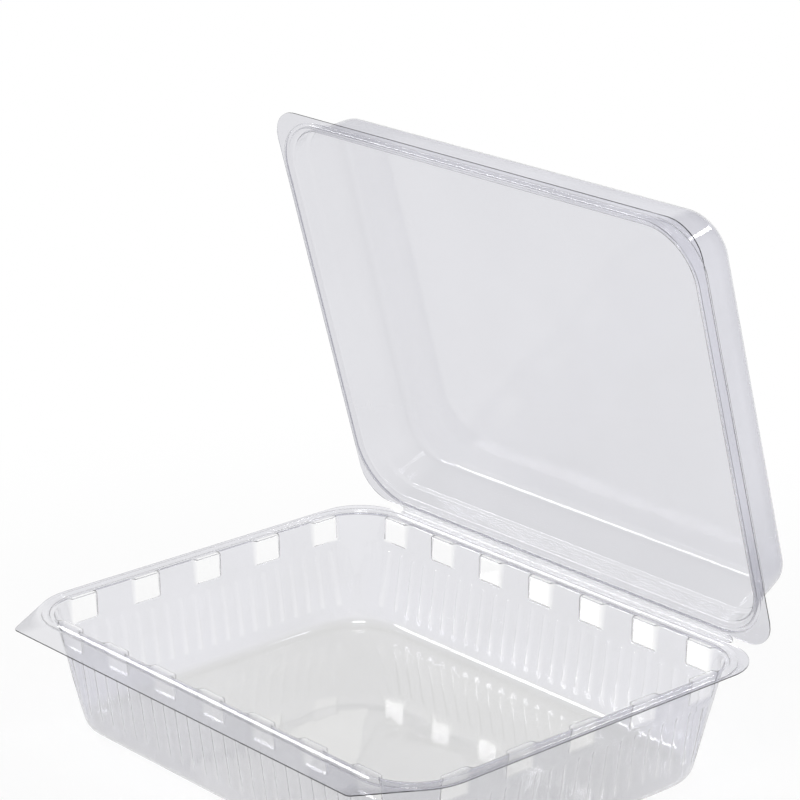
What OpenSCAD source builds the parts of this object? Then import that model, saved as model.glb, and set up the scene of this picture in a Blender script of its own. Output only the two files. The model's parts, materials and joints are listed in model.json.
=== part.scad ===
// Hinged clamshell food pack, thermoformed from one clear sheet: a drafted base tray and a
// shallow lid that share a snap rim and a living hinge. The lid stands part open.
// +X runs along the hinge, +Y points to the hinge, z = 0 is the table.

/* [Overall size] */
// Width along the hinge, between the outer flange edges
pack_w = 229; // [180:1:300]
// Depth from the front flange edge to the back flange edge
pack_d = 181; // [150:1:260]
// Height of the base, from the table to the top of its flange
base_h = 46; // [34:1:80]
// Depth of the lid, from its flange to the outside of its top panel
lid_h = 24; // [16:0.5:50]
// Corner radius of the walls where they meet the flange, seen from above
wall_r = 20; // [16:0.5:30]

/* [Sheet] */
// Thickness of the formed sheet
sheet_t = 0.4; // [0.3:0.05:0.6]
// Draft of the base walls, in degrees
base_draft = 8; // [3:0.5:12]
// Draft of the lid walls, in degrees
lid_draft = 10; // [3:0.5:14]
// Outside radius between the base walls and the floor
floor_r = 5; // [3:0.5:8]
// Middle radius between the lid walls and the top panel
panel_r = 4.5; // [2:0.5:6]
// Middle radius of the small folds of the lid's rim
fold_r = 0.8; // [0.5:0.1:1.2]

/* [Rim] */
// Width of the flange, from its outer edge to the wall
flange_w = 6.2; // [5.5:0.1:9]
// Middle radius of the snap groove in the base's flange
groove_r = 1.6; // [1.3:0.1:2]
// Distance from the flange's outer edge to the middle of the snap groove
groove_in = 3.1; // [2.7:0.1:3.5]
// Gap left between the two flanges when the pack is shut
shut_gap = 0.3; // [0.2:0.05:0.5]
// Corner radius of the base flange's cut edge, beside the hinge
base_trim_r = 20; // [10:0.5:20]
// Corner radius of the lid flange's cut edge
lid_trim_r = 14; // [8:0.5:20]
// Height of the upright band above the lid's flange
band_h = 6.5; // [4:0.5:9]
// Width of the ledge above that band
ledge_w = 1.5; // [1:0.1:2.5]

/* [Front lip] */
// Reach of the base's front lip past the flange
lip_reach = 11; // [4:0.5:20]
// Distance from each side of the pack to the tip of the lip
lip_tip = 18; // [12:0.5:40]
// Radius of the lip's tips
lip_r = 3; // [2:0.5:8]

/* [Denest lugs] */
// Width of each lug along its wall
lug_w = 13; // [8:0.5:16]
// Height of each lug, down from the top of the flange
lug_h = 10.5; // [6:0.5:14]
// Reach of each lug inwards, from the top of the wall
lug_reach = 3; // [2.5:0.1:4]
// Distance between lugs that the spacing is rounded to fit
lug_pitch = 29; // [22:1:36]
// Distance from the end of a side to the middle of its first lug
lug_margin = 29; // [26:0.5:34]

/* [Flutes] */
// Distance between the wall flutes
flute_pitch = 7; // [5:0.5:12]
// Radius of each flute, on the outside of the sheet
flute_r = 1.6; // [1.2:0.1:2]
// Depth of each flute
flute_depth = 0.6; // [0.3:0.1:0.9]
// Plain wall left between the lugs and the flutes
flute_clear = 3; // [1.5:0.5:6]

/* [Hinge] */
// Distance from the flange edges to the hinge line
hinge_off = 2; // [1.5:0.1:3]
// Distance from the start of the flange's back corners to the ends of the hinge web
hinge_inset = 2; // [0:1:20]
// Thickness of the creased hinge web
web_t = 0.25; // [0.15:0.05:0.3]
// Slit between the end of the web and the lid's flange
web_slit = 0.05; // [0.03:0.01:0.1]
// Opening of the lid from shut, in degrees
lid_open = 74; // [0:1:180]

/* [Hidden] */
$fn = 64;
sheet_colour = [0.85, 0.88, 0.9, 0.6];

// Corner radius of the swept rim, and its corner axes
corner_r = wall_r + flange_w;
axis_x = pack_w / 2 - corner_r;
axis_y = pack_d / 2 - corner_r;

// Levels of the base's rim and of the shut lid's rim
base_mid_z = base_h - sheet_t / 2;
rim_step = sheet_t + shut_gap;
lid_mid_z = base_mid_z + rim_step;
hinge_y = pack_d / 2 + hinge_off;
hinge_z = base_h + shut_gap / 2;

// Distance of the snap groove from the corner axes
groove_rho = corner_r - groove_in;

// Fillet between the floor and the wall, shared by both faces of the sheet
floor_c = [base_wall_rho(floor_r) - floor_r / cos(base_draft), floor_r];

// Outer face of the base wall at height z, as a distance from the corner axis
function base_wall_rho(z) = wall_r - (base_h - z) * tan(base_draft);

// Points along an arc about c
function arc(c, r, from, to, n = 6) =
    [for (i = [0:n]) c + r * [cos(from + (to - from) * i / n), sin(from + (to - from) * i / n)]];

function unit(v) = v / norm(v);
function left_of(v) = [-v[1], v[0]];

// Arc of radius r that rounds the corner b between a and c
function round_corner(a, b, c, r, n = 4) =
    let (u = unit(a - b))
    let (v = unit(c - b))
    let (half = acos(u * v) / 2)
    let (mid = b + unit(u + v) * r / sin(half))
    let (p = b + u * r / tan(half) - mid)
    let (turn = (180 - 2 * half) * sign(u[0] * v[1] - u[1] * v[0]) * -1)
    let (start = atan2(p[1], p[0]))
    arc(mid, r, start, start + turn, n);

// Closed outline of a sheet of thickness t about an open path
function thicken(path, t) =
    let (last = len(path) - 1)
    let (side = [for (i = [0:last - 1]) left_of(unit(path[i + 1] - path[i]))])
    let (mitre = [
        for (i = [0:last])
            let (m = side[max(i - 1, 0)])
            let (n = side[min(i, last - 1)])
            (m + n) / (1 + m * n)
    ])
    concat(
        [for (i = [0:last]) path[i] + mitre[i] * t / 2],
        [for (i = [last:-1:0]) path[i] - mitre[i] * t / 2]
    );

// Rounded rectangle of the flange, moved in by inset
module flange_outline(inset = 0) {
    r = corner_r - inset;
    square([2 * (axis_x + r), 2 * axis_y], center = true);
    square([2 * axis_x, 2 * (axis_y + r)], center = true);
    for (x = [-1, 1]) {
        for (y = [-1, 1]) {
            translate([x * axis_x, y * axis_y])
                circle(r);
        }
    }
}

// Sweeps a half section round the pack; its x is the distance from the corner axes
module sweep() {
    for (side = [0, 180]) {
        rotate(side)
            translate([axis_x, 0, 0])
                rotate([90, 0, 0])
                    linear_extrude(2 * axis_y, center = true)
                        children();
        rotate(side + 90)
            translate([axis_y, 0, 0])
                rotate([90, 0, 0])
                    linear_extrude(2 * axis_x, center = true)
                        children();
    }
    for (k = [0:3]) {
        translate([(k == 0 || k == 3 ? 1 : -1) * axis_x, (k < 2 ? 1 : -1) * axis_y, 0])
            rotate(90 * k)
                rotate_extrude(angle = 90)
                    children();
    }
}

// Fills the middle rectangle that the sweep leaves open
module middle(z, h) {
    translate([0, 0, z + h / 2])
        cube([2 * axis_x, 2 * axis_y, h], center = true);
}

// Solid inside one face of the base's sheet, set in by t from the outside and topped at z
module tray_fill(t, top) {
    face = concat(
        [[0, t]],
        arc(floor_c, floor_r - t, -90, -base_draft),
        [[base_wall_rho(top) - t / cos(base_draft), top], [0, top]]
    );
    sweep()
        polygon(face);
    middle(t, top - t);
}

// Repeats its children along the four walls: they face +X and are spread along Y
module on_walls(margin, pitch) {
    for (wall = [0:3]) {
        along = wall % 2 == 0 ? pack_d : pack_w;
        across = wall % 2 == 0 ? pack_w : pack_d;
        gaps = max(1, round((along - 2 * margin) / pitch));
        step = (along - 2 * margin) / gaps;
        rotate(90 * wall)
            translate([across / 2, 0, 0])
                for (i = [0:gaps]) {
                    translate([0, (i - gaps / 2) * step, 0])
                        children();
                }
    }
}

// One lug, drawn in by t on all its faces
module lug(t) {
    inner = -(flange_w + lug_reach - t);
    outer = -(flange_w - sheet_t);
    foot = base_h - lug_h + t;
    rotate([90, 0, 0])
        linear_extrude(lug_w - 2 * t, center = true)
            polygon([
                [outer, base_h - t],
                [inner, base_h - t],
                [inner, foot],
                [outer, foot]
            ]);
}

// One flute of the given radius, lying along the drafted wall and longer by extra at each end
module flute(r, extra) {
    low = floor_r + flute_clear;
    high = base_h - lug_h - flute_clear;
    length = (high - low) / cos(base_draft) + 2 * extra;
    mid = (low + high) / 2;
    translate([base_wall_rho(mid) - corner_r, 0, mid])
        rotate([0, base_draft, 0])
            translate([flute_r - flute_depth, 0, 0])
                cylinder(r = r, h = length, center = true);
}

// Flange of the base with its snap groove
module base_flange() {
    path = concat(
        [[wall_r - sheet_t / 2, base_mid_z]],
        arc([groove_rho, base_mid_z], groove_r, 180, 360, 8),
        [[corner_r, base_mid_z]]
    );
    sweep()
        polygon(thicken(path, sheet_t));
}

// Flat plates that square the swept rim's corners up to a cut edge of radius r
module corner_plates(r, bottom, quarters) {
    reach = corner_r - r;
    for (k = quarters) {
        translate([(k == 0 || k == 3 ? 1 : -1) * axis_x, (k < 2 ? 1 : -1) * axis_y, bottom])
            rotate(90 * k)
                linear_extrude(sheet_t)
                    difference() {
                        union() {
                            square([corner_r, reach]);
                            square([reach, corner_r]);
                            translate([reach, reach])
                                circle(r);
                        }
                        circle(corner_r - sheet_t);
                    }
    }
}

// Flat lip along the front of the base's flange; its ends run out of the corners
module front_lip() {
    hub = [axis_x, -axis_y];
    tip = [pack_w / 2 - lip_tip, -pack_d / 2 - lip_reach];
    other_tip = [-tip[0], tip[1]];
    hug = corner_r - sheet_t / 2;
    lean = atan2(tip[1] - hub[1], tip[0] - hub[0]) + acos(hug / norm(tip - hub));
    root = hub + hug * [cos(lean), sin(lean)];
    edge = concat([root], round_corner(root, tip, other_tip, lip_r));
    other_edge = [for (i = [len(edge) - 1:-1:0]) [-edge[i][0], edge[i][1]]];
    translate([0, 0, base_h - sheet_t])
        linear_extrude(sheet_t)
            difference() {
                polygon(concat(edge, other_edge));
                flange_outline(sheet_t);
            }
}

// Tray with drafted fluted walls, denest lugs under the flange and a front lip
module base() {
    color(sheet_colour) {
        difference() {
            tray_fill(0, base_h);
            on_walls(lug_margin, lug_pitch)
                lug(sheet_t);
            on_walls(corner_r, flute_pitch)
                flute(flute_r, 0);
            difference() {
                tray_fill(sheet_t, base_h + 1);
                on_walls(lug_margin, lug_pitch)
                    lug(0);
                on_walls(corner_r, flute_pitch)
                    flute(flute_r + sheet_t, sheet_t);
            }
        }
        base_flange();
        corner_plates(base_trim_r, base_h - sheet_t, [0, 1]);
        front_lip();
    }
}

// Turns the shut lid open about the hinge line
module opened() {
    translate([0, hinge_y, hinge_z])
        rotate([-lid_open, 0, 0])
            translate([0, -hinge_y, -hinge_z])
                children();
}

// Shallow lid: top panel, drafted wall, ledge, upright band and flange with its snap bead
module lid() {
    bead_r = groove_r - rim_step;
    top_z = base_h + shut_gap + lid_h - sheet_t / 2;
    band_top = lid_mid_z + band_h;
    wall_foot = [wall_r - ledge_w, band_top + ledge_w / 2];
    wall_head = [wall_foot[0] - (top_z - wall_foot[1]) * tan(lid_draft), top_z];
    panel = [0, top_z];
    band_head = [wall_r, band_top];
    band_foot = [wall_r, lid_mid_z];
    bead_in = [groove_rho - bead_r, lid_mid_z];
    bead_out = [groove_rho + bead_r, lid_mid_z];
    path = concat(
        [panel],
        round_corner(panel, wall_head, wall_foot, panel_r),
        round_corner(wall_head, wall_foot, band_head, fold_r),
        round_corner(wall_foot, band_head, band_foot, fold_r),
        round_corner(band_head, band_foot, bead_in, fold_r),
        [bead_in],
        arc([groove_rho, base_mid_z], bead_r, 180, 360, 8),
        [bead_out, [corner_r, lid_mid_z]]
    );
    color(sheet_colour)
        opened() {
            sweep()
                polygon(thicken(path, sheet_t));
            middle(top_z - sheet_t / 2, sheet_t);
            corner_plates(lid_trim_r, lid_mid_z - sheet_t / 2, [0:3]);
        }
}

// Creased web between the flanges: each point turns about the hinge line by its share of the fold
module living_hinge() {
    drop = rim_step / 2;
    fold = 180 - lid_open;
    steps = 20;
    reach = 2 * hinge_off - web_slit;
    web_half = pack_w / 2 - max(base_trim_r, lid_trim_r) - hinge_inset;
    path = [
        for (i = [0:steps])
            let (u = reach * i / steps)
            let (share = u / (2 * hinge_off))
            let (turn = fold * share * share * (3 - 2 * share))
            let (y = u - hinge_off)
            [y * cos(turn) + drop * sin(turn), y * sin(turn) - drop * cos(turn)]
    ];
    color(sheet_colour)
        translate([0, hinge_y, hinge_z])
            rotate([90, 0, 90])
                linear_extrude(2 * web_half, center = true)
                    polygon(thicken(path, web_t));
}

base();
living_hinge();
lid();
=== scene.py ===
"""Looks of the hinged clear food pack: a tray and a lid, each formed from one thin clear sheet,
and the creased web that joins their rims."""
import json
import math

import bmesh
import bpy
from mathutils import Matrix, Vector, geometry, noise


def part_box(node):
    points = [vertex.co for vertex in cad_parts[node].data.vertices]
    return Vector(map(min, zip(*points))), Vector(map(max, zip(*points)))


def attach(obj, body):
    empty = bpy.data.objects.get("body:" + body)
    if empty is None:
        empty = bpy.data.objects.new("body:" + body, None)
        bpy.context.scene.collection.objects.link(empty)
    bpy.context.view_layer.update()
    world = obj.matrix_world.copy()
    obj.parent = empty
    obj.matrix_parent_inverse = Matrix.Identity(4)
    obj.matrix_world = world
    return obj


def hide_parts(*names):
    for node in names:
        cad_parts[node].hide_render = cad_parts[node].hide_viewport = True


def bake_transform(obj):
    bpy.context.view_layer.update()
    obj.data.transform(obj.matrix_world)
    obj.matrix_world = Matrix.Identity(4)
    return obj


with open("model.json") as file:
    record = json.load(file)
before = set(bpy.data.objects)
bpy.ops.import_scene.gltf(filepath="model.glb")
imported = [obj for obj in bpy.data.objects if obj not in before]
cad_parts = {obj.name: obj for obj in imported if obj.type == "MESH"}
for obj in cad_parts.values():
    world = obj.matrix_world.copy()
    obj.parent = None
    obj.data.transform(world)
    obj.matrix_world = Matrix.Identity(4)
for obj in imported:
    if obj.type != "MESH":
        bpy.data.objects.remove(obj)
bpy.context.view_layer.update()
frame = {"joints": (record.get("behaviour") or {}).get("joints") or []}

MM = 0.001

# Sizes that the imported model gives
tray_low, tray_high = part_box("base")
_, web_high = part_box("living_hinge")
hinge = frame["joints"][0]
hinge_point = Vector(hinge["pos_m"])
lid_open = math.radians(-hinge["range_deg"][0])
pack_w = tray_high.x - tray_low.x
pack_d = 2 * tray_high.y
tray_h = tray_high.z
lip_reach = -tray_low.y - tray_high.y
web_half = web_high.x

# Sheet and its folds
sheet_t = 0.4 * MM
web_t = 0.25 * MM
tray_draft = math.radians(8)
lid_draft = math.radians(10)
floor_r = 5 * MM
panel_r = 4.5 * MM
fold_r = 0.8 * MM
floor_corner_ease = 12 * MM

# Rim
wall_r = 20 * MM
flange_w = 6.2 * MM
tray_trim_r = 20 * MM
lid_trim_r = 14 * MM
groove_r = 1.6 * MM
groove_in = 3.1 * MM
groove_ease = 0.5 * MM
shut_gap = 0.3 * MM
lid_h = 24 * MM
band_h = 6.5 * MM
ledge_w = 1.5 * MM
cut_edge = 0.35 * MM

# Where the flat floor and panel begin, as a distance from the corner axes
flat_rho = wall_r / 5

# Ripple that forming leaves in the flat panel and floor
ripple_h = 0.18 * MM
ripple_span = 34 * MM
ripple_fade = 16 * MM
ripple_grid = 5 * MM

# Creases that the draw leaves in the round wall corners
crease_h = 0.3 * MM
crease_span = 5 * MM

# Front lip of the tray
lip_tip = 18 * MM
lip_r = 3 * MM

# Denest lugs and wall flutes
lug_w = 12.6 * MM
lug_h = 10.4 * MM
lug_plane = 9.0 * MM
lug_pitch = 29 * MM
lug_margin = 29 * MM
lug_ease = 0.7 * MM
flute_pitch = 7 * MM
flute_half = 2.1 * MM
flute_depth = 0.65 * MM
flute_low = 8 * MM
flute_high = 32.5 * MM
flute_fade = 1.5 * MM

# Painted lighter side of the lid: over how much of its half size the painted light grows, as a share
light_side_span = 0.8

# Fineness of the meshes
foot_steps = 5
brow_steps = 4
groove_steps = 6
groove_ease_steps = 2
bead_steps = 8
ease_steps = 3
panel_steps = 10
ledge_steps = 4
band_steps = 5
lip_steps = 8
plain_gaps = 16
web_rows = 24
web_columns = 40
sharp_turn = math.radians(60)
slack = 1e-7

# Levels and distances that follow
corner_r = wall_r + flange_w
axis_x = pack_w / 2 - corner_r
axis_y = pack_d / 2 - corner_r
tray_rim_z = tray_h - sheet_t / 2
rim_step = sheet_t + shut_gap
lid_rim_z = tray_rim_z + rim_step
groove_rho = corner_r - groove_in

# Finishes: the tone of the light that comes through the sheet where it is flat or drawn into a wall, the
# lighter tone painted on one side as light, the dark tone of edges, then its roughness, the haze of its
# flat part and how much it mirrors from the front
TRAY_LOOK = {
    "flat": (0.765, 0.765, 0.76),
    "drawn": (0.83, 0.83, 0.865),
    "painted_light_side": (0.83, 0.83, 0.865),
    "dark_edge": (0.52, 0.52, 0.55),
    "roughness": 0.02,
    "haze": 0.0,
    "shine": 1.0,
}
LID_LOOK = {
    "flat": (0.762, 0.762, 0.797),
    "drawn": (0.77, 0.77, 0.802),
    "painted_light_side": (0.935, 0.935, 0.962),
    "dark_edge": (0.66, 0.66, 0.69),
    "roughness": 0.02,
    "haze": 0.05,
    "shine": 0.5,
}
WEB_LOOK = {
    "flat": (0.8, 0.8, 0.83),
    "drawn": (0.84, 0.84, 0.87),
    "painted_light_side": (0.84, 0.84, 0.87),
    "dark_edge": (0.7, 0.7, 0.73),
    "roughness": 0.08,
    "haze": 0.0,
    "shine": 1.0,
}
WHITE = (1.0, 1.0, 1.0, 1.0)
# Painted highlight tone along the flutes
FLUTE_HIGHLIGHT = (0.96, 0.96, 0.975, 1.0)
SHADOW = (0.88, 0.88, 0.9, 1.0)
PALE = (0.9, 0.9, 0.9, 1.0)
DUSK = (0.25, 0.25, 0.26, 1.0)
sheet_ior = 1.45

# Tones within a finish, as shares of its flat tone, and how far each is mixed in
# The lid's flange is a little darker, except towards its painted lighter side
rim_tone = 0.96
# Painted shade in the lid's panel fold
fold_shade_tone = 0.93
fold_shade_mix = 0.7
flow_tone = 0.9
flow_mix = 0.22
# Painted highlight along the flutes, stronger lower down
flute_highlight_mix_high = 0.08
flute_highlight_mix_low = 0.45
# Darker towards the lip's slanted end, and painted shade along the cut edge
lip_end_mix = 0.55
cut_shade_mix = 0.8

# Grains of a finish: about how many waves to the metre, how fine they are and how much they do
flow_scale = 16.0
flow_range = (0.3, 0.7)
coarse_detail = 2.0
fine_detail = 3.0
grain_scale = 160.0
grain_gloss = 0.06
wave_scale = 45.0
wave_h = 0.4 * MM
wave_strength = 0.15

# Floor: how white it looks under the pack, and between which distances it turns all white
shadow_white = 0.86
shadow_fade = (0.12, 0.4)


class Wire:
    """An output of a node, or a number, that can be used in sums."""

    def __init__(self, graph, socket):
        self.graph = graph
        self.socket = socket

    def maths(self, operation, *others):
        return self.graph.maths(operation, self, *others)

    def __add__(self, other):
        return self.maths("ADD", other)

    def __sub__(self, other):
        return self.maths("SUBTRACT", other)

    def __mul__(self, other):
        return self.maths("MULTIPLY", other)

    def __truediv__(self, other):
        return self.maths("DIVIDE", other)

    def __rsub__(self, other):
        return self.graph.maths("SUBTRACT", other, self)

    def __rtruediv__(self, other):
        return self.graph.maths("DIVIDE", other, self)

    __radd__ = __add__
    __rmul__ = __mul__


class Graph:
    """A node tree in which each node is one call."""

    def __init__(self, tree):
        self.tree = tree

    def node(self, kind, settings=None, sockets=None):
        made = self.tree.nodes.new(kind)
        for name, value in (settings or {}).items():
            setattr(made, name, value)
        for key, value in (sockets or {}).items():
            self.feed(self.find(made.inputs, key), value)
        return made

    def out(self, kind, settings=None, sockets=None, output=0):
        made = self.node(kind, settings, sockets)
        return Wire(self, self.find(made.outputs, output))

    def maths(self, operation, *values):
        return self.out("ShaderNodeMath", {"operation": operation}, dict(enumerate(values)))

    def ease(self, value, start, end, low=0.0, high=1.0):
        """Goes smoothly from low to high as value goes from start to end."""
        return self.out("ShaderNodeMapRange", {"interpolation_type": "SMOOTHSTEP"}, {
            "Value": value, "From Min": start, "From Max": end, "To Min": low, "To Max": high,
        })

    def blend_colours(self, share, first, second):
        return self.out("ShaderNodeMix", {"data_type": "RGBA"}, {
            "Factor_Float": share, "A_Color": first, "B_Color": second,
        }, "Result_Color")

    def feed(self, target, value):
        if isinstance(value, Wire):
            self.tree.links.new(value.socket, target)
        elif isinstance(value, bpy.types.NodeSocket):
            self.tree.links.new(value, target)
        else:
            target.default_value = value

    @staticmethod
    def find(sockets, key):
        if isinstance(key, int):
            return sockets[key]
        for socket in sockets:
            if socket.identifier == key:
                return socket
        return sockets[key]


# Sections of the sheet: x is the distance from the corner axes, y is the height


def point(x, y):
    return Vector((x, y))


def smooth(share):
    """Goes from 0 to 1 with level ends, as share does."""
    share = min(1.0, max(0.0, share))
    return share * share * (3 - 2 * share)


def arc(centre, radius, start, end, steps):
    turns = [start + (end - start) * i / steps for i in range(steps + 1)]
    return [centre + radius * point(math.cos(a), math.sin(a)) for a in turns]


def fold(before, corner, after, radius, steps):
    """Points of the arc that rounds a corner of a section."""
    back = (before - corner).normalized()
    ahead = (after - corner).normalized()
    half = math.acos(max(-1.0, min(1.0, back.dot(ahead)))) / 2
    centre = corner + (back + ahead).normalized() * radius / math.sin(half)
    first = corner + back * radius / math.tan(half) - centre
    turn = math.pi - 2 * half
    if back.x * ahead.y - back.y * ahead.x > 0:
        turn = -turn
    start = math.atan2(first.y, first.x)
    return arc(centre, radius, start, start + turn, steps)


def tray_wall_rho(z):
    """Middle of the drafted tray wall at height z."""
    face = wall_r - (tray_h - z) * math.tan(tray_draft)
    return face - sheet_t / 2 / math.cos(tray_draft)


def groove_path(radius, ease, centre, steps):
    """Half-round groove that eases out of the level of its own centre."""
    reach = math.sqrt(radius * radius + 2 * radius * ease)
    lean = math.atan2(ease, reach)
    left = point(centre.x - reach, centre.y - ease)
    right = point(centre.x + reach, centre.y - ease)
    quarter = math.pi / 2
    return (
        arc(left, ease, quarter, lean, groove_ease_steps)
        + arc(centre, radius, math.pi + lean, 2 * math.pi - lean, steps)[1:-1]
        + arc(right, ease, math.pi - lean, quarter, groove_ease_steps)
    )


def tray_section():
    """Section of the tray from its floor to the cut edge of its flange, and its wall's row count."""
    mid_r = floor_r - sheet_t / 2
    centre = point(tray_wall_rho(floor_r) - mid_r / math.cos(tray_draft), floor_r)
    foot = arc(centre, mid_r, -math.pi / 2, -tray_draft, foot_steps)
    flute_levels = [
        flute_low, flute_low + flute_fade / 2, flute_low + flute_fade, (flute_low + flute_high) / 2,
        flute_high - flute_fade, flute_high - flute_fade / 2, flute_high,
    ]
    lug_levels = [tray_h - lug_h + share * lug_ease for share in (-1.6, -0.8, 0, 0.8, 1.6)]
    levels = flute_levels + lug_levels + [tray_h - 2.5 * fold_r]
    wall = [point(tray_wall_rho(z), z) for z in levels]
    top = point(tray_wall_rho(tray_rim_z), tray_rim_z)
    groove = groove_path(groove_r, groove_ease, point(groove_rho, tray_rim_z), groove_steps)
    brow = fold(wall[-1], top, groove[0], fold_r, brow_steps)
    inner = [point(flat_rho, sheet_t / 2)]
    rim = [point(corner_r - cut_edge, tray_rim_z), point(corner_r, tray_rim_z)]
    pressed = inner + foot + wall + brow
    return pressed + groove + rim, len(pressed)


def lid_section():
    """Section of the shut lid from its top panel to the cut edge of its flange."""
    top_z = tray_h + shut_gap + lid_h - sheet_t / 2
    band_top = lid_rim_z + band_h
    bead_r = groove_r - rim_step
    wall_foot = point(wall_r - ledge_w, band_top + ledge_w / 2)
    wall_head = point(wall_foot.x - (top_z - wall_foot.y) * math.tan(lid_draft), top_z)
    panel = point(flat_rho, top_z)
    band_head = point(wall_r, band_top)
    band_foot = point(wall_r, lid_rim_z)
    bead_in = point(groove_rho - bead_r, lid_rim_z)
    bead_out = point(groove_rho + bead_r, lid_rim_z)
    bead_low = point(groove_rho, tray_rim_z)
    bead = arc(bead_low, bead_r, math.pi, 2 * math.pi, bead_steps)
    rim = [point(corner_r - cut_edge, lid_rim_z), point(corner_r, lid_rim_z)]
    return (
        [panel, point(wall_head.x - 2 * panel_r, top_z)]
        + fold(panel, wall_head, wall_foot, panel_r, panel_steps)
        + [wall_head.lerp(wall_foot, 0.5), wall_head.lerp(wall_foot, 0.85)]
        + fold(wall_head, wall_foot, band_head, fold_r, ledge_steps)
        + fold(wall_foot, band_head, band_foot, fold_r, band_steps)
        + [band_head.lerp(band_foot, 0.5)]
        + fold(band_head, band_foot, bead_in, fold_r, band_steps)
        + fold(band_foot, bead_in, bead[0], groove_ease, ease_steps)
        + bead
        + fold(bead[-1], bead_out, rim[0], groove_ease, ease_steps)
        + rim
    )


# Stations round the rim: each has a corner axis, an outward direction and the side it belongs to

SIDES = [point(1, 0), point(0, 1), point(-1, 0), point(0, -1)]


def side_size(side):
    """Length of a side, and the distance from the pack's middle to its flange edge."""
    return (pack_d, pack_w / 2) if side % 2 == 0 else (pack_w, pack_d / 2)


def spaced(length, margin, pitch):
    """Middles of the things that repeat along a side, at about that pitch."""
    gaps = max(1, round((length - 2 * margin) / pitch))
    step = (length - 2 * margin) / gaps
    return [(i - gaps / 2) * step for i in range(gaps + 1)]


def pressed_stops(length):
    """Places along a straight side that show its lugs and flutes clearly."""
    end = length / 2 - corner_r
    edge = [-lug_ease, -lug_ease / 3, lug_ease / 3, lug_ease]
    lugs = [
        middle + sign * lug_w / 2 + shift
        for middle in spaced(length, lug_margin, lug_pitch)
        for sign in (-1, 1)
        for shift in edge
    ]
    stops = [-end, end] + [s for s in lugs if abs(s) < end - lug_ease / 2]
    for middle in spaced(length, corner_r, flute_pitch):
        for share in (0, -1 / 3, 1 / 3, -2 / 3, 2 / 3, -1, 1):
            stop = middle + share * flute_half
            if abs(stop) < end and min(abs(stop - s) for s in stops) > lug_ease / 2:
                stops.append(stop)
    return sorted(stops)


def plain_stops(length):
    """Even places along a straight side that has nothing pressed into it."""
    end = length / 2 - corner_r
    return [end * (2 * i / plain_gaps - 1) for i in range(plain_gaps + 1)]


def stations_round(side_stops, turns):
    """Stations along the four sides and round their corners."""
    made = []
    for side, out in enumerate(SIDES):
        length, across = side_size(side)
        tangent = point(-out.y, out.x)
        for stop in side_stops(length):
            made.append((out * (across - corner_r) + tangent * stop, out, side))
        axis = out * (across - corner_r) + tangent * (length / 2 - corner_r)
        for turn in turns:
            lean = out * math.cos(turn) + tangent * math.sin(turn)
            made.append((axis, lean, side if turn < math.pi / 4 else (side + 1) % 4))
    return made


def lip_path():
    """Cut edge of the front lip's right end, and the turn round the corner at which it meets the rim."""
    hub = point(axis_x, -axis_y)
    tip = point(pack_w / 2 - lip_tip, -pack_d / 2 - lip_reach)
    away = tip - hub
    lean = math.atan2(away.y, away.x) + math.acos(corner_r / away.length)
    root = hub + corner_r * point(math.cos(lean), math.sin(lean))
    start = point(axis_x, tip.y)
    return [start] + fold(start, tip, root, lip_r, lip_steps) + [root], lean + math.pi / 2


lip_edge, lip_end_turn = lip_path()


def corner_turns(fine_to, fine_step, coarse_step):
    """Turns round a corner, from steps in degrees: fine at both ends, coarse between, one at a lip end."""
    fine = [math.radians(fine_step * i) for i in range(1, round(fine_to / fine_step) + 1)]
    count = round((90 - 2 * fine_to) / coarse_step)
    step = (math.pi / 2 - 2 * fine[-1]) / count
    coarse = [fine[-1] + step * i for i in range(1, count)]
    turns = fine + coarse + [math.pi / 2 - turn for turn in fine]
    for lip_end in (lip_end_turn, math.pi / 2 - lip_end_turn):
        nearest = min(range(len(turns)), key=lambda i: abs(turns[i] - lip_end))
        turns[nearest] = lip_end
    return sorted(turns)


# Sheets


def ripple_at(x, y, room):
    """Height of the shallow ripple at a place that lies that far inside the flat's edge."""
    wave = noise.noise(Vector((x, y, 0)) / ripple_span)
    return ripple_h * smooth(room / ripple_fade) * (1 + wave)


def room_inside(place, reach, corner):
    """How far a place lies inside a rectangle that has round corners."""
    past_x = abs(place.x) - reach.x + corner
    past_y = abs(place.y) - reach.y + corner
    if past_x > 0 and past_y > 0:
        return corner - math.hypot(past_x, past_y)
    return corner - max(past_x, past_y)


def fill_flat(work, ring, corner, ripple_side):
    """Fills the ring round a flat panel or floor with a fine mesh that has the ripple on one side."""
    level = ring[0].co.z
    edge = [v.co.to_2d() for v in ring]
    reach = point(max(v.x for v in edge), max(v.y for v in edge))
    rows = int(reach.y / ripple_grid)
    columns = int(reach.x / ripple_grid)
    spots = []
    for j in range(-rows, rows + 1):
        for i in range(-columns, columns + 1):
            spot = point((i + 0.5 * (j % 2)) * ripple_grid, j * ripple_grid)
            if room_inside(spot, reach, corner) > ripple_grid / 2:
                spots.append(spot)
    loop = [(i, (i + 1) % len(ring)) for i in range(len(ring))]
    inside_only = 1
    merge_under = 1e-9
    places, _, triangles, *_ = geometry.delaunay_2d_cdt(edge + spots, loop, [], inside_only, merge_under)
    corners = list(ring)
    for place in places[len(ring):]:
        room = room_inside(place, reach, corner)
        corners.append(work.verts.new((*place, level + ripple_side * ripple_at(*place, room))))
    for triangle in triangles:
        work.faces.new([corners[i] for i in triangle])


def swept_place(axis, out, spot, ease):
    """Place of a section's spot at a station: the corners get wider towards the floor by the ease."""
    place = axis + out * spot.x
    wider = ease * max(0.0, 1 - spot.y / tray_rim_z)
    hub = point(math.copysign(axis_x - wider, place.x), math.copysign(axis_y - wider, place.y))
    away = place - hub
    if wider and away.x * hub.x > 0 and away.y * hub.y > 0:
        place = hub + away.normalized() * (spot.x + wider)
    return place


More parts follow.
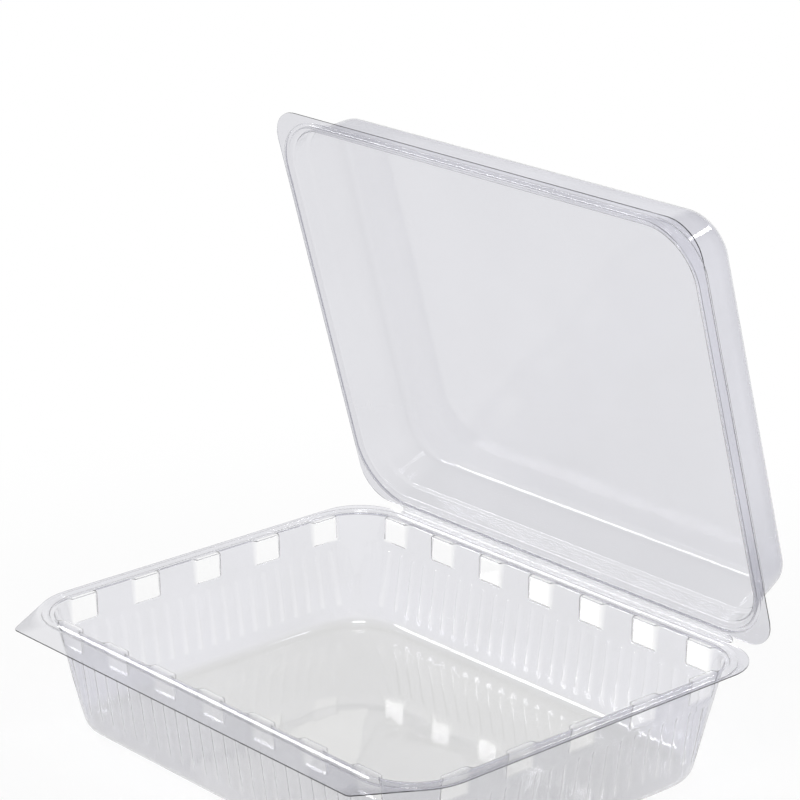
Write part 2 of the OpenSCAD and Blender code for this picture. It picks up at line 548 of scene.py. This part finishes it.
def crease_at(out, place, share):
    """Depth of the shallow creases in a round corner, at a share of the wall's height."""
    corner = 4 * out.x * out.x * out.y * out.y
    height = max(0.0, 4 * share * (1 - share))
    return crease_h * corner * height * noise.noise(place / crease_span)


def swept_sheet(section, stations, ease=0.0):
    """Sheet without thickness or middle: a section carried round the stations."""
    work = bmesh.new()
    first, last = section[0].y, section[-1].y
    rings = []
    for spot in section:
        ring = []
        for axis, out, _ in stations:
            flat = swept_place(axis, out, spot, ease)
            place = Vector((*flat, spot.y))
            flat += out * crease_at(out, place, (spot.y - first) / (last - first))
            ring.append(work.verts.new((*flat, spot.y)))
        rings.append(ring)
    count = len(stations)
    for inner, outer in zip(rings, rings[1:]):
        for i in range(count):
            j = (i + 1) % count
            work.faces.new((inner[i], outer[i], outer[j], inner[j]))
    return work, rings


def extend_rim(work, rim, outline):
    """Flat strip from a run of rim points out to the outline that they are given."""
    strips = [list(rim), [], [], []]
    least_inner = 0.6
    for vertex, goal in zip(rim, outline):
        reach = (goal - vertex.co).length
        inner = max(least_inner, 1 - cut_edge / max(reach, cut_edge))
        for strip, share in zip(strips[1:], (inner / 2, inner, 1.0)):
            moved = reach > cut_edge / 10
            strip.append(work.verts.new(vertex.co.lerp(goal, share)) if moved else vertex)
    for inner, outer in zip(strips, strips[1:]):
        for i in range(len(rim) - 1):
            corners = (inner[i], outer[i], outer[i + 1], inner[i + 1])
            face = [v for k, v in enumerate(corners) if v not in corners[:k]]
            if len(face) > 2:
                work.faces.new(face)


def along_path(path, share):
    """Point at a share of an open path's length."""
    lengths = [(b - a).length for a, b in zip(path, path[1:])]
    left = share * sum(lengths)
    for a, b, length in zip(path, path[1:], lengths):
        if left <= length:
            return a.lerp(b, left / length)
        left -= length
    return path[-1]


def mark_new_points(work, values, value):
    """Gives the points that were added since the last marks a value of their own."""
    values.extend([value] * (len(work.verts) - len(values)))


def sheet_piece(name, work, attributes):
    """Object of a sheet, with its named point attributes and a mark along its cut edge."""
    work.normal_update()
    work.verts.index_update()
    cut = [1.0 if v.is_boundary else 0.0 for v in work.verts]
    mesh = bpy.data.meshes.new(name)
    work.to_mesh(mesh)
    work.free()
    for title, values in {**attributes, "cut": cut}.items():
        values = list(values) + [values[0] * 0] * (len(mesh.vertices) - len(values))
        vector = isinstance(values[0], Vector)
        layer = mesh.attributes.new(title, "FLOAT_VECTOR" if vector else "FLOAT", "POINT")
        if vector:
            layer.data.foreach_set("vector", [n for value in values for n in value])
        else:
            layer.data.foreach_set("value", values)
    piece = bpy.data.objects.new(name, mesh)
    bpy.context.scene.collection.objects.link(piece)
    return piece


def thicken(piece, thickness):
    """Gives a sheet its thickness, half to each side."""
    wall = piece.modifiers.new("sheet thickness", "SOLIDIFY")
    wall.thickness = thickness
    wall.offset = 0
    wall.use_even_offset = True
    wall.use_quality_normals = True


def settle(piece):
    """Turns a piece and its modifiers into a plain smooth mesh."""
    bpy.context.view_layer.update()
    depsgraph = bpy.context.evaluated_depsgraph_get()
    mesh = bpy.data.meshes.new_from_object(
        piece.evaluated_get(depsgraph), preserve_all_data_layers=True, depsgraph=depsgraph
    )
    piece.modifiers.clear()
    piece.data = mesh
    mesh.name = piece.name
    mesh.shade_smooth()
    mesh.set_sharp_from_angle(angle=sharp_turn)


PRESS_SIZES = {
    "Lug width": lug_w,
    "Lug height": lug_h,
    "Lug plane": lug_plane,
    "Lug pitch": lug_pitch,
    "Lug margin": lug_margin,
    "Lug ease": lug_ease,
    "Flute pitch": flute_pitch,
    "Flute margin": corner_r,
    "Flute half width": flute_half,
    "Flute depth": flute_depth,
    "Flute low": tray_h - flute_low,
    "Flute high": tray_h - flute_high,
    "Flute fade": flute_fade,
}


def press_tree():
    """Rule that presses the repeating lugs and flutes into a swept sheet."""
    tree = bpy.data.node_groups.new("press lugs and flutes", "GeometryNodeTree")
    tree.interface.new_socket("Sheet", in_out="INPUT", socket_type="NodeSocketGeometry")
    for name in PRESS_SIZES:
        tree.interface.new_socket(name, in_out="INPUT", socket_type="NodeSocketFloat")
    tree.interface.new_socket("Finish", in_out="INPUT", socket_type="NodeSocketMaterial")
    tree.interface.new_socket("Sheet", in_out="OUTPUT", socket_type="NodeSocketGeometry")
    graph = Graph(tree)
    given = graph.node("NodeGroupInput")
    size = {name: Wire(graph, given.outputs[name]) for name in PRESS_SIZES}

    def read(name, kind="FLOAT"):
        return graph.out("GeometryNodeInputNamedAttribute", {"data_type": kind}, {"Name": name})

    along, length, depth = read("along"), read("side length"), read("depth")

    def off_nearest(margin, pitch):
        """Distance along the wall from the nearest of the evenly spaced middles."""
        room = length - 2 * margin
        gaps = (room / pitch).maths("ROUND").maths("MAXIMUM", 1)
        step = room / gaps
        number = (along / step + gaps / 2).maths("ROUND").maths("MAXIMUM", 0).maths("MINIMUM", gaps)
        return (along - (number - gaps / 2) * step).maths("ABSOLUTE")

    ease = size["Lug ease"]
    half = size["Lug width"] / 2
    beside = off_nearest(size["Lug margin"], size["Lug pitch"])
    lug = graph.ease(beside, half - ease, half + ease, 1.0, 0.0)
    lug = lug * graph.ease(depth, size["Lug height"] - ease, size["Lug height"] + ease, 1.0, 0.0)
    lug = lug * read("pressed")
    lug_push = (size["Lug plane"] - read("inset")).maths("MAXIMUM", 0) * lug

    beside = off_nearest(size["Flute margin"], size["Flute pitch"])
    flute = graph.ease(beside, 0.0, size["Flute half width"], 1.0, 0.0)
    high, low, fade = size["Flute high"], size["Flute low"], size["Flute fade"]
    flute = flute * graph.ease(depth, high, high + fade)
    flute = flute * graph.ease(depth, low - fade, low, 1.0, 0.0)
    flute = flute * read("pressed")

    push = lug_push + flute * size["Flute depth"]
    offset = graph.out("ShaderNodeVectorMath", {"operation": "SCALE"}, {
        "Vector": read("inward", "FLOAT_VECTOR"), "Scale": push,
    })
    pressed = graph.out("GeometryNodeSetPosition", None, {
        "Geometry": given.outputs["Sheet"], "Offset": offset,
    })
    kind = {"data_type": "FLOAT", "domain": "POINT"}
    for name, value in (("lug", lug), ("flute", flute)):
        pressed = graph.out("GeometryNodeStoreNamedAttribute", kind, {
            "Geometry": pressed, "Name": name, "Value": value,
        })
    real = graph.out("GeometryNodeRealizeInstances", None, {"Geometry": pressed})
    done = graph.out("GeometryNodeSetMaterial", None, {
        "Geometry": real, "Material": given.outputs["Finish"],
    })
    graph.node("NodeGroupOutput", None, {"Sheet": done})
    return tree


def press(piece, finish):
    """Presses the lugs and flutes into a piece and gives it its finish."""
    tree = press_tree()
    items = tree.interface.items_tree
    names = {item.name: item.identifier for item in items if item.in_out == "INPUT"}
    rule = piece.modifiers.new("press lugs and flutes", "NODES")
    rule.node_group = tree
    for name, value in PRESS_SIZES.items():
        rule[names[name]] = value
    rule[names["Finish"]] = finish


# Finishes


def clear_finish(name, flat, drawn, painted_light_side, dark_edge, roughness, haze, shine):
    """Clear formed sheet: flat and drawn tones, a faint flow, a painted lighter side, painted shade in
    folds and cut edges, painted highlights on flutes and lugs, a darker rim and lip end.
    """
    material = bpy.data.materials.new(name)
    material.use_nodes = True
    material.node_tree.nodes.clear()
    graph = Graph(material.node_tree)
    place = graph.out("ShaderNodeTexCoord", output="Object")

    def speckle(scale, detail):
        return graph.out("ShaderNodeTexNoise", None, {"Vector": place, "Scale": scale, "Detail": detail})

    def mark(title):
        return graph.out("ShaderNodeAttribute", {"attribute_name": title}, output="Fac")

    def tone(colour, share=1.0):
        return (*[c * share for c in colour], 1.0)

    flow = graph.ease(speckle(flow_scale, coarse_detail), *flow_range)
    # Painted light: the lid is lighter towards its front right corner
    walls = graph.blend_colours(mark("painted_light_side"), tone(drawn), tone(painted_light_side))
    body = graph.blend_colours(mark("wall"), tone(flat), walls)
    # Darker flange of the lid, except towards its painted lighter side
    body = graph.blend_colours(mark("darker rim"), body, tone(flat, rim_tone))
    # Painted shade in the fold
    body = graph.blend_colours(mark("fold") * fold_shade_mix, body, tone(flat, fold_shade_tone))
    body = graph.blend_colours(flow * flow_mix, body, tone(flat, flow_tone))
    # Painted highlight along the flutes, stronger lower down
    flute_highlight = mark("flute") * graph.ease(mark("depth"), lug_h, tray_h, flute_highlight_mix_high, flute_highlight_mix_low)
    body = graph.blend_colours(flute_highlight, body, FLUTE_HIGHLIGHT)
    # Lugs painted fully clear, as a painted highlight
    body = graph.blend_colours(mark("lug"), body, WHITE)
    # Darker towards the lip's slanted end
    body = graph.blend_colours(mark("lip end") * lip_end_mix, body, tone(dark_edge))
    # Painted shade along the cut edge
    body = graph.blend_colours(mark("cut") * cut_shade_mix, body, tone(dark_edge))
    gloss = speckle(grain_scale, fine_detail) * grain_gloss + (1 - mark("wall")) * haze + roughness
    wave = graph.out("ShaderNodeBump", None, {
        "Strength": wave_strength, "Distance": wave_h, "Height": speckle(wave_scale, coarse_detail),
    })
    sheet = graph.out("ShaderNodeBsdfPrincipled", None, {
        "Base Color": body, "Roughness": gloss, "Normal": wave,
        "IOR": sheet_ior, "Transmission Weight": 1.0, "Specular Tint": tone((shine, shine, shine)),
    })
    light_through = graph.out("ShaderNodeBsdfTransparent", None, {"Color": SHADOW})
    shadow = graph.out("ShaderNodeLightPath", output="Is Shadow Ray")
    shown = graph.out("ShaderNodeMixShader", None, {0: shadow, 1: sheet, 2: light_through})
    graph.node("ShaderNodeOutputMaterial", None, {"Surface": shown})
    return material


def floor_finish():
    """Pale floor, which the camera and the clear sheet see near white, with the pack's shadow kept."""
    material = bpy.data.materials.new("pale floor")
    material.use_nodes = True
    material.node_tree.nodes.clear()
    graph = Graph(material.node_tree)
    matt = graph.out("ShaderNodeBsdfDiffuse", None, {"Color": PALE})
    white = graph.out("ShaderNodeEmission", None, {"Color": WHITE, "Strength": 1.0})
    ray = graph.node("ShaderNodeLightPath")
    seen = Wire(graph, ray.outputs["Is Camera Ray"])
    seen = seen.maths("MAXIMUM", Wire(graph, ray.outputs["Is Glossy Ray"]))
    seen = seen.maths("MAXIMUM", Wire(graph, ray.outputs["Is Transmission Ray"]))
    place = graph.out("ShaderNodeTexCoord", output="Object")
    away = graph.out("ShaderNodeVectorMath", {"operation": "LENGTH"}, {0: place}, "Value")
    plain = graph.ease(away, *shadow_fade, shadow_white, 1.0)
    shown = graph.out("ShaderNodeMixShader", None, {0: seen * plain, 1: matt, 2: white})
    graph.node("ShaderNodeOutputMaterial", None, {"Surface": shown})
    return material


# Pieces


def lip_turn(vertex):
    """Turn of a rim point from the pack's front: nothing on the straight front, most of all behind."""
    if vertex.co.y > -axis_y + slack:
        return math.pi
    return math.atan2(max(0.0, abs(vertex.co.x) - axis_x), -vertex.co.y - axis_y)


def lip_outline(vertex):
    """Place on the front lip's cut edge that a rim point of the tray reaches."""
    x, y, z = vertex.co
    if abs(x) <= axis_x:
        return Vector((x, lip_edge[0].y, z))
    spot = along_path(lip_edge, min(1.0, lip_turn(vertex) / lip_end_turn))
    return Vector((math.copysign(spot.x, x), spot.y, z))


def lip_end_share(place):
    """How near a place on the front lip is to the lip's slanted end."""
    return smooth((abs(place.x) - axis_x) / (pack_w / 2 - lip_tip - axis_x))


def trim_outline(vertex, trim_r):
    """Place on a flange's cut corner of radius trim_r that a rim point of that corner reaches."""
    x, y, z = vertex.co
    away = point(abs(x) - axis_x, abs(y) - axis_y) / corner_r
    scale = corner_r / max(away)
    square = corner_r - trim_r
    if min(away) * scale > square:
        middle = point(square, square)
        along = away.dot(middle)
        scale = along + math.sqrt(along ** 2 - middle.length_squared + trim_r ** 2)
    reach = point(axis_x, axis_y) + away * scale
    return Vector((math.copysign(reach.x, x), math.copysign(reach.y, y), z))


def corner_runs(rim):
    """Runs of rim points round each corner, from one straight side to the next."""
    runs = []
    for sign_x in (1, -1):
        for sign_y in (1, -1):
            run = [
                v for v in rim
                if v.co.x * sign_x > axis_x - slack and v.co.y * sign_y > axis_y - slack
            ]
            run.sort(
                key=lambda v: math.atan2(abs(v.co.y) - axis_y, abs(v.co.x) - axis_x),
                reverse=sign_x * sign_y < 0,
            )
            runs.append(run)
    return runs


def make_tray(finish):
    """Tray: the swept sheet, its rippled floor, front lip and corners, with the lugs and flutes pressed."""
    section, wall_rows = tray_section()
    stations = stations_round(pressed_stops, corner_turns(fine_to=26, fine_step=1.1, coarse_step=4))
    work, rings = swept_sheet(section, stations, floor_corner_ease)
    names = ("along", "side length", "inset", "depth", "inward", "pressed", "wall", "fold")
    attributes = {name: [] for name in names}
    for row, spot in enumerate(section):
        for axis, out, side in stations:
            length, across = side_size(side)
            facing = SIDES[side]
            wall = swept_place(axis, out, point(tray_wall_rho(spot.y), spot.y), floor_corner_ease)
            place = swept_place(axis, out, spot, floor_corner_ease)
            attributes["along"].append(place.dot(point(-facing.y, facing.x)))
            attributes["side length"].append(length)
            attributes["inset"].append(across - wall.dot(facing))
            attributes["depth"].append(tray_h - spot.y)
            attributes["inward"].append(Vector((-facing.x, -facing.y, 0)))
            attributes["pressed"].append(1.0 if row < wall_rows else 0.0)
            attributes["wall"].append(min(1.0, spot.y / floor_r))
            attributes["fold"].append(0.0)
    rim = rings[-1]
    fill_flat(work, rings[0], section[0].x + floor_corner_ease, 1)
    mark_new_points(work, attributes["wall"], 0.0)
    lip = [v for v in rim if lip_turn(v) <= lip_end_turn + 10 * slack]
    before_lip = len(work.verts)
    extend_rim(work, lip, [lip_outline(v) for v in lip])
    work.verts.ensure_lookup_table()
    lip_ends = [lip_end_share(v.co) for v in work.verts[before_lip:]]
    attributes["lip end"] = [0.0] * before_lip + lip_ends
    for run in corner_runs(rim):
        if run[0].co.y > 0:
            extend_rim(work, run, [trim_outline(v, tray_trim_r) for v in run])
    mark_new_points(work, attributes["wall"], 1.0)
    piece = sheet_piece("base_sheet", work, attributes)
    press(piece, finish)
    thicken(piece, sheet_t)
    settle(piece)
    return piece


def painted_light_share(place):
    """How much painted light a place on the lid gets: most towards its front right corner."""
    return smooth((2 * place.x / pack_w - 2 * place.y / pack_d) / light_side_span)


def make_lid(finish):
    """Lid: the swept sheet, its rippled panel and its flange's corners, turned to its rest pose."""
    stations = stations_round(plain_stops, corner_turns(fine_to=26, fine_step=3.25, coarse_step=3.8))
    section = lid_section()
    work, rings = swept_sheet(section, stations)
    panel_z = section[0].y
    drop = [(panel_z - spot.y) / panel_r for spot in section for _ in stations]
    attributes = {
        "wall": [min(1.0, d) for d in drop],
        "fold": [max(0.0, 1 - abs(2 * d - 1)) for d in drop],
    }
    rim = [1.0 if spot.x > wall_r + fold_r else 0.0 for spot in section for _ in stations]
    fill_flat(work, rings[0], section[0].x, -1)
    mark_new_points(work, attributes["wall"], 0.0)
    mark_new_points(work, rim, 0.0)
    for run in corner_runs(rings[-1]):
        extend_rim(work, run, [trim_outline(v, lid_trim_r) for v in run])
    mark_new_points(work, attributes["wall"], 1.0)
    mark_new_points(work, rim, 1.0)
    # Painted light on the lid's front right side, and the darker flange that fades out there
    attributes["painted_light_side"] = [painted_light_share(v.co) for v in work.verts]
    attributes["darker rim"] = [r * (1 - t) for r, t in zip(rim, attributes["painted_light_side"])]
    away = Matrix.Translation(-hinge_point)
    back = Matrix.Translation(hinge_point)
    work.transform(back @ Matrix.Rotation(-lid_open, 4, "X") @ away)
    piece = sheet_piece("lid_sheet", work, attributes)
    piece.data.materials.append(finish)
    thicken(piece, sheet_t)
    settle(piece)
    return piece


def web_path():
    """Section of the web: each point is turned about the hinge line by its share of the fold."""
    reach = hinge_point.y - pack_d / 2
    whole_fold = math.pi - lid_open
    end_share = 0.995
    path = []
    for i in range(web_rows + 1):
        share = i / web_rows * end_share
        spot = Vector((0, 2 * reach * share - reach, -rim_step / 2))
        path.append(hinge_point + Matrix.Rotation(whole_fold * smooth(share), 3, "X") @ spot)
    return path


def make_web(finish):
    """Hinge web, and the two ends of its section."""
    path = web_path()
    along = [web_half * (2 * i / web_columns - 1) for i in range(web_columns + 1)]
    work = bmesh.new()
    rows = [[work.verts.new(spot + Vector((x, 0, 0))) for x in along] for spot in path]
    for lower, upper in zip(rows, rows[1:]):
        for i in range(web_columns):
            work.faces.new((lower[i], lower[i + 1], upper[i + 1], upper[i]))
    piece = sheet_piece("hinge_web", work, {"wall": [1.0] * len(work.verts)})
    piece.data.materials.append(finish)
    thicken(piece, web_t)
    settle(piece)
    return piece, path[0], path[-1]


tray = make_tray(clear_finish("clear tray sheet", **TRAY_LOOK))
lid = make_lid(clear_finish("clear lid sheet", **LID_LOOK))
web, web_start, web_end = make_web(clear_finish("creased clear web", **WEB_LOOK))

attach(tray, "base")
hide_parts("base")
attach(lid, "lid")
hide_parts("lid")
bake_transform(web)
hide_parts("living_hinge")


# Studio

stage_r = 14
stage_sides = 96
stage_drop = 0.3 * MM
camera_turn = math.radians(48.244)
camera_rise = math.radians(18.822)
camera_distance = 1.1927
camera_aim = Vector((0, 0.00832, 0.13726))
focal_length = 145.118
sensor_width = 36
sky_fade = (0.42, 0.72)
scene = bpy.context.scene
scene.view_settings.view_transform = "Standard"
scene.cycles.max_bounces = 24
scene.cycles.transmission_bounces = 24
scene.cycles.transparent_max_bounces = 32


def make_floor():
    """Round floor just under the pack."""
    mesh = bpy.data.meshes.new("floor")
    work = bmesh.new()
    bmesh.ops.create_circle(work, cap_ends=True, segments=stage_sides, radius=stage_r)
    work.to_mesh(mesh)
    work.free()
    floor = bpy.data.objects.new("floor", mesh)
    floor.location.z = -stage_drop
    floor.data.materials.append(floor_finish())
    scene.collection.objects.link(floor)


def soft_box(name, place, width, height, watts):
    """Oval soft lamp that faces the middle of the tray's rim."""
    lamp = bpy.data.lights.new(name, "AREA")
    lamp.shape = "ELLIPSE"
    lamp.size = width
    lamp.size_y = height
    lamp.energy = watts
    holder = bpy.data.objects.new(name, lamp)
    holder.location = place
    facing = Vector((0, 0, tray_h)) - Vector(place)
    holder.rotation_euler = facing.to_track_quat("-Z", "Y").to_euler()
    scene.collection.objects.link(holder)


def make_camera():
    """Camera at the photo's viewing angle."""
    level = math.cos(camera_rise)
    back = Vector((
        math.sin(camera_turn) * level, -math.cos(camera_turn) * level, math.sin(camera_rise)
    ))
    lens = bpy.data.cameras.new("photo camera")
    lens.lens = focal_length
    lens.sensor_width = sensor_width
    camera = bpy.data.objects.new("photo camera", lens)
    camera.location = camera_aim + back * camera_distance
    camera.rotation_euler = (-back).to_track_quat("-Z", "Y").to_euler()
    scene.collection.objects.link(camera)
    scene.camera = camera


def make_world():
    """White room that is darker overhead."""
    world = bpy.data.worlds.new("soft room")
    scene.world = world
    world.use_nodes = True
    world.node_tree.nodes.clear()
    graph = Graph(world.node_tree)
    facing = graph.out("ShaderNodeTexCoord", output="Generated")
    height = graph.out("ShaderNodeSeparateXYZ", None, {"Vector": facing}, "Z")
    shade = graph.blend_colours(graph.ease(height, *sky_fade), WHITE, DUSK)
    glow = graph.out("ShaderNodeBackground", None, {"Color": shade, "Strength": 1.0})
    graph.node("ShaderNodeOutputWorld", None, {"Surface": glow})


make_floor()
make_world()
make_camera()
soft_box("key soft box", place=(-1.5, -1.3, 0.9), width=0.9, height=0.6, watts=14)
soft_box("top soft box", place=(0.3, -0.42, 1.45), width=0.5, height=0.5, watts=5)
soft_box("rim soft box", place=(0.6, 1.4, 1.5), width=0.32, height=0.26, watts=4)
